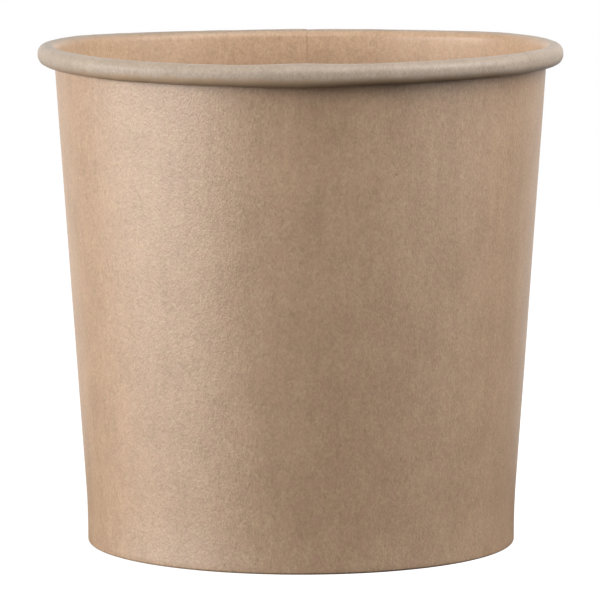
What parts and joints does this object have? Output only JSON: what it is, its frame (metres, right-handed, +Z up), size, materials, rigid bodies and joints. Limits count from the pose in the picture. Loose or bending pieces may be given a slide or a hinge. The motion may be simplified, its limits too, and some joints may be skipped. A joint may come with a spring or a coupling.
{
  "type": "paper ice cream tub",
  "caption": "Round tapered kraft board tub with a rolled rim bead, a glued side lap and a base disc set up into a folded foot, open at the top.",
  "frame": {"origin": "centre of the foot ring, on the surface that the tub stands on", "axes": "+Z up along the tub's axis, -Y towards the plain front, +X to the right; the glued lap is near +Y"},
  "size_m": [0.09, 0.09, 0.0857],
  "materials": {
    "sidewall_board": "matt kraft board, coated inside",
    "base_board": "matt kraft board, coated inside"
  },
  "bodies": {
    "root": {"sidewall": "sidewall_board", "base_disc": "base_board"}
  },
  "joints": []
}
